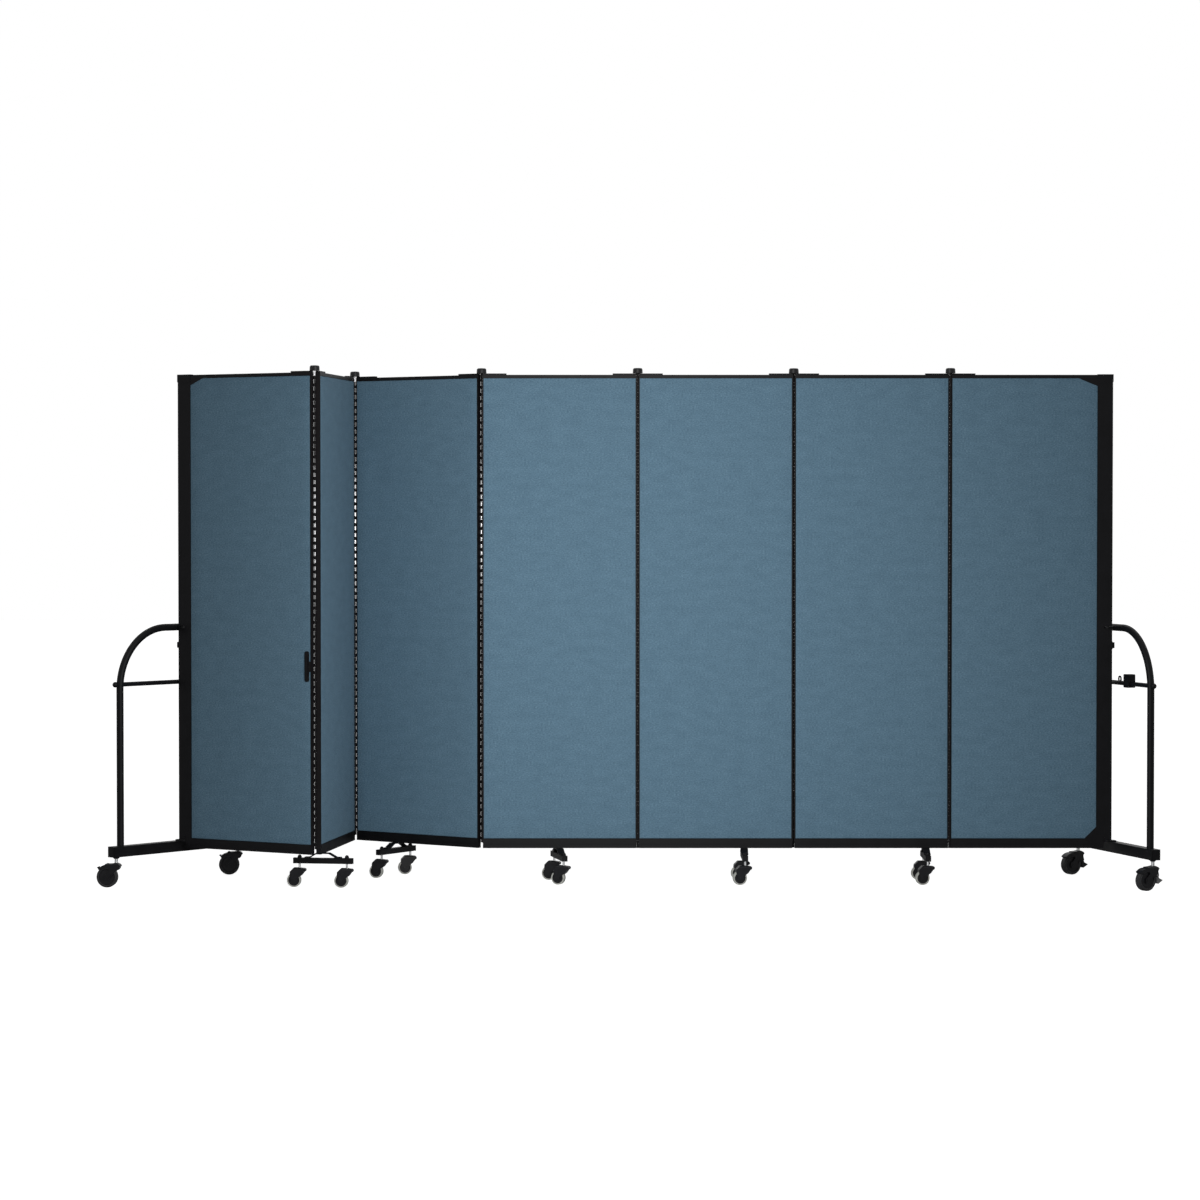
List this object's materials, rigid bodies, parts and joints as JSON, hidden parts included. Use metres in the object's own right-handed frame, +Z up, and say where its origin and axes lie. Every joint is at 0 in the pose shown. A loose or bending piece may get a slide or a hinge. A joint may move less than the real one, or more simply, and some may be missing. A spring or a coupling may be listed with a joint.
{
  "type": "accordion folding partition",
  "caption": "Wheeled accordion room divider: blue-grey fabric panels in black frames on piano hinges, with caster trucks and arched end frames.",
  "frame": {"origin": "on the floor, at the middle of the whole object's floor plan in the pictured pose", "axes": "+X along the straight panels to the viewer's right, +Y away from the viewer, +Z up"},
  "size_m": [3.781, 0.6423, 1.86],
  "materials": {
    "black_frame": "satin black powder coat",
    "black_steel": "satin black powder coat",
    "blue_fabric": "heathered woven",
    "hinge_steel": "dull steel",
    "black_plastic": "satin moulded",
    "wheel_grey": "matte",
    "wheel_dark": "matte",
    "pedal_grey": "satin"
  },
  "bodies": {
    "panel_1": {"panel_1_frame": "black_frame", "panel_1_fabric": "blue_fabric", "panel_1_hinge_leaves": "hinge_steel"},
    "panel_2": {"panel_2_frame": "black_frame", "panel_2_fabric": "blue_fabric", "panel_2_hinge_leaves": "hinge_steel", "truck_2": "black_steel"},
    "panel_3": {"panel_3_frame": "black_frame", "panel_3_fabric": "blue_fabric", "panel_3_hinge_leaves": "hinge_steel", "truck_3": "black_steel"},
    "panel_4": {"panel_4_frame": "black_frame", "panel_4_fabric": "blue_fabric", "panel_4_hinge_leaves": "hinge_steel", "truck_4": "black_steel"},
    "panel_5": {"panel_5_frame": "black_frame", "panel_5_fabric": "blue_fabric", "panel_5_hinge_leaves": "hinge_steel", "truck_5": "black_steel"},
    "panel_6": {"panel_6_frame": "black_frame", "panel_6_fabric": "blue_fabric", "panel_6_hinge_leaves": "hinge_steel", "truck_6": "black_steel"},
    "panel_7": {"panel_7_frame": "black_frame", "panel_7_fabric": "blue_fabric", "panel_7_hinge_leaves": "hinge_steel"},
    "end_frame_left": {"end_frame_left": "black_frame"},
    "end_frame_right": {"end_frame_right": "black_frame"},
    "caster_fork_2_front": {"caster_fork_2_front": "black_plastic"},
    "caster_wheel_2_front": {"caster_wheel_2_front": "wheel_grey"},
    "caster_fork_2_back": {"caster_fork_2_back": "black_plastic"},
    "caster_wheel_2_back": {"caster_wheel_2_back": "wheel_grey"},
    "caster_fork_3_front": {"caster_fork_3_front": "black_plastic"},
    "caster_wheel_3_front": {"caster_wheel_3_front": "wheel_grey"},
    "caster_fork_3_back": {"caster_fork_3_back": "black_plastic"},
    "caster_wheel_3_back": {"caster_wheel_3_back": "wheel_grey"},
    "caster_fork_4_front": {"caster_fork_4_front": "black_plastic"},
    "caster_wheel_4_front": {"caster_wheel_4_front": "wheel_grey"},
    "caster_fork_4_back": {"caster_fork_4_back": "black_plastic"},
    "caster_wheel_4_back": {"caster_wheel_4_back": "wheel_grey"},
    "caster_fork_5_front": {"caster_fork_5_front": "black_plastic"},
    "caster_wheel_5_front": {"caster_wheel_5_front": "wheel_grey"},
    "caster_fork_5_back": {"caster_fork_5_back": "black_plastic"},
    "caster_wheel_5_back": {"caster_wheel_5_back": "wheel_grey"},
    "caster_fork_6_front": {"caster_fork_6_front": "black_plastic"},
    "caster_wheel_6_front": {"caster_wheel_6_front": "wheel_grey"},
    "caster_fork_6_back": {"caster_fork_6_back": "black_plastic"},
    "caster_wheel_6_back": {"caster_wheel_6_back": "wheel_grey"},
    "end_fork_left_front": {"end_fork_left_front": "black_plastic"},
    "end_wheel_left_front": {"end_wheel_left_front": "wheel_dark"},
    "brake_pedal_left_front": {"brake_pedal_left_front": "pedal_grey"},
    "end_fork_left_back": {"end_fork_left_back": "black_plastic"},
    "end_wheel_left_back": {"end_wheel_left_back": "wheel_dark"},
    "brake_pedal_left_back": {"brake_pedal_left_back": "pedal_grey"},
    "end_fork_right_front": {"end_fork_right_front": "black_plastic"},
    "end_wheel_right_front": {"end_wheel_right_front": "wheel_dark"},
    "brake_pedal_right_front": {"brake_pedal_right_front": "pedal_grey"},
    "end_fork_right_back": {"end_fork_right_back": "black_plastic"},
    "end_wheel_right_back": {"end_wheel_right_back": "wheel_dark"},
    "brake_pedal_right_back": {"brake_pedal_right_back": "pedal_grey"}
  },
  "joints": [
    {"name": "hinge_3", "type": "hinge", "parent": "panel_4", "child": "panel_3", "pos_m": [-0.525, 0.00525, 0.124], "axis": [0, 0, -1], "range_deg": [-34.1, 145.9]},
    {"name": "hinge_2", "type": "hinge", "parent": "panel_3", "child": "panel_2", "pos_m": [-1.00186, 0.30335, 0.124], "axis": [0, 0, 1], "range_deg": [-115.6, 64.4]},
    {"name": "hinge_1", "type": "hinge", "parent": "panel_2", "child": "panel_1", "pos_m": [-1.10521, -0.24944, 0.124], "axis": [0, 0, -1], "range_deg": [-111.5, 50]},
    {"name": "hinge_4", "type": "hinge", "parent": "panel_4", "child": "panel_5", "pos_m": [0.037, -0.01525, 0.124], "axis": [0, 0, -1], "range_deg": [0, 150]},
    {"name": "hinge_5", "type": "hinge", "parent": "panel_5", "child": "panel_6", "pos_m": [0.599, 0.00525, 0.124], "axis": [0, 0, 1], "range_deg": [0, 150]},
    {"name": "hinge_6", "type": "hinge", "parent": "panel_6", "child": "panel_7", "pos_m": [1.161, -0.01525, 0.124], "axis": [0, 0, -1], "range_deg": [0, 145]},
    {"name": "end_frame_left_pivot", "type": "hinge", "parent": "panel_1", "child": "end_frame_left", "pos_m": [-1.60397, 0.02668, 0.152], "axis": [0, 0, 1], "range_deg": [-19, 41]},
    {"name": "end_frame_right_pivot", "type": "hinge", "parent": "panel_7", "child": "end_frame_right", "pos_m": [1.731, -0.005, 0.152], "axis": [0, 0, 1], "range_deg": [-48, 12]},
    {"name": "swivel_2_front", "type": "hinge", "parent": "panel_2", "child": "caster_fork_2_front", "pos_m": [-0.9988, -0.18863, 0.09], "axis": [0, 0, 1], "continuous": true},
    {"name": "roll_2_front", "type": "hinge", "parent": "caster_fork_2_front", "child": "caster_wheel_2_front", "pos_m": [-1.01869, -0.18654, 0.025], "axis": [0.1045, 0.9945, 0], "continuous": true},
    {"name": "swivel_2_back", "type": "hinge", "parent": "panel_2", "child": "caster_fork_2_back", "pos_m": [-1.16891, -0.16321, 0.09], "axis": [0, 0, 1], "continuous": true},
    {"name": "roll_2_back", "type": "hinge", "parent": "caster_fork_2_back", "child": "caster_wheel_2_back", "pos_m": [-1.18886, -0.16181, 0.025], "axis": [0.0698, 0.9976, 0], "continuous": true},
    {"name": "swivel_3_front", "type": "hinge", "parent": "panel_3", "child": "caster_fork_3_front", "pos_m": [-0.89541, 0.1398, 0.09], "axis": [0, 0, 1], "continuous": true},
    {"name": "roll_3_front", "type": "hinge", "parent": "caster_fork_3_front", "child": "caster_wheel_3_front", "pos_m": [-0.91498, 0.14396, 0.025], "axis": [0.2079, 0.9781, 0], "continuous": true},
    {"name": "swivel_3_back", "type": "hinge", "parent": "panel_3", "child": "caster_fork_3_back", "pos_m": [-0.79898, 0.28223, 0.09], "axis": [0, 0, 1], "continuous": true},
    {"name": "roll_3_back", "type": "hinge", "parent": "caster_fork_3_back", "child": "caster_wheel_3_back", "pos_m": [-0.81879, 0.27945, 0.025], "axis": [-0.1392, 0.9903, 0], "continuous": true},
    {"name": "swivel_4_front", "type": "hinge", "parent": "panel_4", "child": "caster_fork_4_front", "pos_m": [-0.22893, -0.08912, 0.09], "axis": [0, 0, 1], "continuous": true},
    {"name": "roll_4_front", "type": "hinge", "parent": "caster_fork_4_front", "child": "caster_wheel_4_front", "pos_m": [-0.24772, -0.08228, 0.025], "axis": [0.342, 0.9397, 0], "continuous": true},
    {"name": "swivel_4_back", "type": "hinge", "parent": "panel_4", "child": "caster_fork_4_back", "pos_m": [-0.26469, 0.07912, 0.09], "axis": [0, 0, 1], "continuous": true},
    {"name": "roll_4_back", "type": "hinge", "parent": "caster_fork_4_back", "child": "caster_wheel_4_back", "pos_m": [-0.28425, 0.08328, 0.025], "axis": [0.2079, 0.9781, 0], "continuous": true},
    {"name": "swivel_5_front", "type": "hinge", "parent": "panel_5", "child": "caster_fork_5_front", "pos_m": [0.42197, -0.091, 0.09], "axis": [0, 0, 1], "continuous": true},
    {"name": "roll_5_front", "type": "hinge", "parent": "caster_fork_5_front", "child": "caster_wheel_5_front", "pos_m": [0.40227, -0.09447, 0.025], "axis": [-0.1736, 0.9848, 0], "continuous": true},
    {"name": "swivel_5_back", "type": "hinge", "parent": "panel_5", "child": "caster_fork_5_back", "pos_m": [0.42197, 0.081, 0.09], "axis": [0, 0, 1], "continuous": true},
    {"name": "roll_5_back", "type": "hinge", "parent": "caster_fork_5_back", "child": "caster_wheel_5_back", "pos_m": [0.40208, 0.07891, 0.025], "axis": [-0.1045, 0.9945, 0], "continuous": true},
    {"name": "swivel_6_front", "type": "hinge", "parent": "panel_6", "child": "caster_fork_6_front", "pos_m": [1.0767, -0.091, 0.09], "axis": [0, 0, 1], "continuous": true},
    {"name": "roll_6_front", "type": "hinge", "parent": "caster_fork_6_front", "child": "caster_wheel_6_front", "pos_m": [1.05689, -0.09378, 0.025], "axis": [-0.1392, 0.9903, 0], "continuous": true},
    {"name": "swivel_6_back", "type": "hinge", "parent": "panel_6", "child": "caster_fork_6_back", "pos_m": [1.0767, 0.081, 0.09], "axis": [0, 0, 1], "continuous": true},
    {"name": "roll_6_back", "type": "hinge", "parent": "caster_fork_6_back", "child": "caster_wheel_6_back", "pos_m": [1.05675, 0.0796, 0.025], "axis": [-0.0698, 0.9976, 0], "continuous": true},
    {"name": "end_swivel_left_front", "type": "hinge", "parent": "end_frame_left", "child": "end_fork_left_front", "pos_m": [-1.8209, -0.17562, 0.112], "axis": [0, 0, 1], "continuous": true},
    {"name": "end_roll_left_front", "type": "hinge", "parent": "end_fork_left_front", "child": "end_wheel_left_front", "pos_m": [-1.85282, -0.17339, 0.0375], "axis": [0.0698, 0.9976, 0], "continuous": true},
    {"name": "brake_left_front", "type": "hinge", "parent": "end_fork_left_front", "child": "brake_pedal_left_front", "pos_m": [-1.85382, -0.17332, 0.0795], "axis": [0.0698, 0.9976, 0], "range_deg": [0, 12]},
    {"name": "end_swivel_left_back", "type": "hinge", "parent": "end_frame_left", "child": "end_fork_left_back", "pos_m": [-1.43382, 0.26966, 0.112], "axis": [0, 0, 1], "continuous": true},
    {"name": "end_roll_left_back", "type": "hinge", "parent": "end_fork_left_back", "child": "end_wheel_left_back", "pos_m": [-1.46575, 0.26743, 0.0375], "axis": [-0.0698, 0.9976, 0], "continuous": true},
    {"name": "brake_left_back", "type": "hinge", "parent": "end_fork_left_back", "child": "brake_pedal_left_back", "pos_m": [-1.46674, 0.26736, 0.0795], "axis": [-0.0698, 0.9976, 0], "range_deg": [0, 12]},
    {"name": "end_swivel_right_front", "type": "hinge", "parent": "end_frame_right", "child": "end_fork_right_front", "pos_m": [1.854, -0.27492, 0.112], "axis": [0, 0, 1], "continuous": true},
    {"name": "end_roll_right_front", "type": "hinge", "parent": "end_fork_right_front", "child": "end_wheel_right_front", "pos_m": [1.82629, -0.29092, 0.0375], "axis": [-0.5, 0.866, 0], "continuous": true},
    {"name": "brake_right_front", "type": "hinge", "parent": "end_fork_right_front", "child": "brake_pedal_right_front", "pos_m": [1.86266, -0.26992, 0.054], "axis": [-0.5, 0.866, 0], "range_deg": [0, 12]},
    {"name": "end_swivel_right_back", "type": "hinge", "parent": "end_frame_right", "child": "end_fork_right_back", "pos_m": [1.66679, 0.28459, 0.112], "axis": [0, 0, 1], "continuous": true},
    {"name": "end_roll_right_back", "type": "hinge", "parent": "end_fork_right_back", "child": "end_wheel_right_back", "pos_m": [1.63828, 0.27006, 0.0375], "axis": [-0.454, 0.891, 0], "continuous": true},
    {"name": "brake_right_back", "type": "hinge", "parent": "end_fork_right_back", "child": "brake_pedal_right_back", "pos_m": [1.6757, 0.28913, 0.054], "axis": [-0.454, 0.891, 0], "range_deg": [0, 12]}
  ]
}
